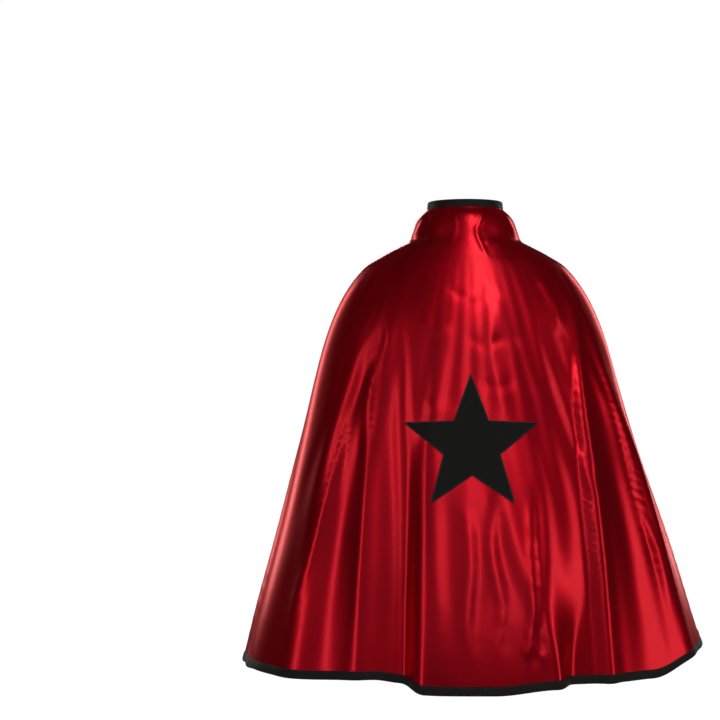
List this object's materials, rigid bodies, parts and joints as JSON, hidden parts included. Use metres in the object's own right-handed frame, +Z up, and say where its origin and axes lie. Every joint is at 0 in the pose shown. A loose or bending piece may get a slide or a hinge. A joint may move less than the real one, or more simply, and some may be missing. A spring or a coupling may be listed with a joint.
{
  "type": "superhero cape",
  "caption": "Child's reversible satin cape with a stand collar, dark edge binding and an emblem on each face. It hangs from the neck, its fronts swing open and a hook and loop tab closes it.",
  "frame": {"origin": "middle of the neck opening at the height of the neck seam, where the wearer's neck holds the cape", "axes": "+Z up, +Y the way the wearer faces, +X to the wearer's right"},
  "size_m": [0.648, 0.4044, 0.6358],
  "materials": {
    "red_satin": "shiny polyester satin, red face",
    "blue_satin": "shiny polyester satin, royal blue face",
    "black_binding": "matt woven bias binding tape",
    "interfacing": "stiff non-woven interfacing",
    "black_felt": "matt flocked applique",
    "yellow_foil_film": "satin yellow heat-set film",
    "red_foil": "mirror-bright red heat-set foil",
    "hook_tape": "black hook tape",
    "loop_tape": "black loop tape",
    "label_tape": "white woven label, blank"
  },
  "bodies": {
    "cape_back": {"back_panel": "red_satin", "left_shoulder_panel": "red_satin", "right_shoulder_panel": "red_satin", "collar_panel": "red_satin", "back_lining": "blue_satin", "left_shoulder_lining": "blue_satin", "right_shoulder_lining": "blue_satin", "collar_lining": "blue_satin", "collar_top_binding": "black_binding", "left_collar_end_binding": "black_binding", "right_collar_end_binding": "black_binding", "left_shoulder_binding": "black_binding", "right_shoulder_binding": "black_binding", "back_hem_binding": "black_binding", "collar_interfacing": "interfacing", "star_emblem": "black_felt", "badge_field": "yellow_foil_film", "badge_rim": "red_foil", "badge_star": "red_foil", "loop_patch": "loop_tape", "care_label": "label_tape"},
    "left_front": {"left_front_panel": "red_satin", "left_front_lining": "blue_satin", "left_front_binding": "black_binding", "left_hem_binding": "black_binding"},
    "right_front": {"right_front_panel": "red_satin", "right_front_lining": "blue_satin", "right_front_binding": "black_binding", "right_hem_binding": "black_binding"},
    "collar_tab": {"closure_tab": "red_satin", "hook_patch": "hook_tape"}
  },
  "joints": [
    {"name": "left_front_swing", "type": "hinge", "parent": "cape_back", "child": "left_front", "pos_m": [-0.2458, 0, -0.3], "axis": [0.2636, 0, 0.9646], "range_deg": [0, 50]},
    {"name": "right_front_swing", "type": "hinge", "parent": "cape_back", "child": "right_front", "pos_m": [0.2458, 0, -0.3], "axis": [0.2636, 0, -0.9646], "range_deg": [0, 50]},
    {"name": "closure_peel", "type": "hinge", "parent": "cape_back", "child": "collar_tab", "pos_m": [-0.0201, 0.0637, 0.029], "axis": [0.107, -0.213, 0.9712], "range_deg": [0, 140]}
  ]
}
